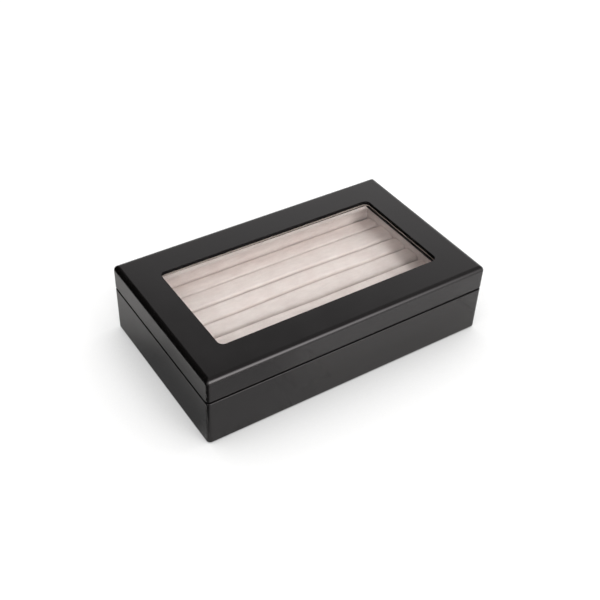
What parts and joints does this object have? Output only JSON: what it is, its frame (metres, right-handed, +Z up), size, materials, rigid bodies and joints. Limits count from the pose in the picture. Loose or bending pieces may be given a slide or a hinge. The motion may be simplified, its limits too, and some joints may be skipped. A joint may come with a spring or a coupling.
{
  "type": "cufflink box",
  "caption": "Black lacquered cufflink box with a hinged lid, a glass window in the lid and a row of soft suede rolls inside that hold cufflinks and rings.",
  "frame": {"origin": "middle of the underside, on the surface that the box stands on", "axes": "+X to the right along the long side, +Y to the hinged back, +Z up"},
  "size_m": [0.24, 0.144, 0.06],
  "materials": {
    "black_lacquer": "satin",
    "black_felt": "matte",
    "beige_suede": "matte",
    "cream_foam": "matte",
    "grey_card": "matte",
    "clear_glass": "polished",
    "pale_seal": "satin",
    "bright_nickel": "polished"
  },
  "bodies": {
    "base": {"base_front_wall": "black_lacquer", "base_back_wall": "black_lacquer", "base_left_wall": "black_lacquer", "base_right_wall": "black_lacquer", "base_floor": "black_lacquer", "base_felt": "black_felt", "cushion_roll_1": "beige_suede", "cushion_roll_2": "beige_suede", "cushion_roll_3": "beige_suede", "cushion_roll_4": "beige_suede", "cushion_roll_5": "beige_suede", "cushion_roll_6": "beige_suede", "cushion_roll_7": "beige_suede", "base_front_liner": "beige_suede", "base_back_liner": "beige_suede", "base_left_liner": "beige_suede", "base_right_liner": "beige_suede", "roll_foam_1": "cream_foam", "roll_foam_2": "cream_foam", "roll_foam_3": "cream_foam", "roll_foam_4": "cream_foam", "roll_foam_5": "cream_foam", "roll_foam_6": "cream_foam", "roll_foam_7": "cream_foam", "cushion_board": "grey_card", "left_hinge_base_leaf": "bright_nickel", "right_hinge_base_leaf": "bright_nickel", "left_hinge_pin": "bright_nickel", "right_hinge_pin": "bright_nickel", "base_hinge_screws": "bright_nickel"},
    "lid": {"lid_front_wall": "black_lacquer", "lid_back_wall": "black_lacquer", "lid_left_wall": "black_lacquer", "lid_right_wall": "black_lacquer", "lid_top_panel": "black_lacquer", "glass_front_bead": "black_lacquer", "glass_back_bead": "black_lacquer", "glass_left_bead": "black_lacquer", "glass_right_bead": "black_lacquer", "lid_front_liner": "beige_suede", "lid_back_liner": "beige_suede", "lid_left_liner": "beige_suede", "lid_right_liner": "beige_suede", "lid_ceiling_liner": "beige_suede", "window_glass": "clear_glass", "window_seal": "pale_seal", "left_hinge_lid_leaf": "bright_nickel", "right_hinge_lid_leaf": "bright_nickel", "lid_hinge_screws": "bright_nickel"}
  },
  "joints": [
    {"name": "lid_hinge", "type": "hinge", "parent": "base", "child": "lid", "pos_m": [0, 0.0698, 0.0397], "axis": [-1, 0, 0], "range_deg": [0, 95]}
  ]
}
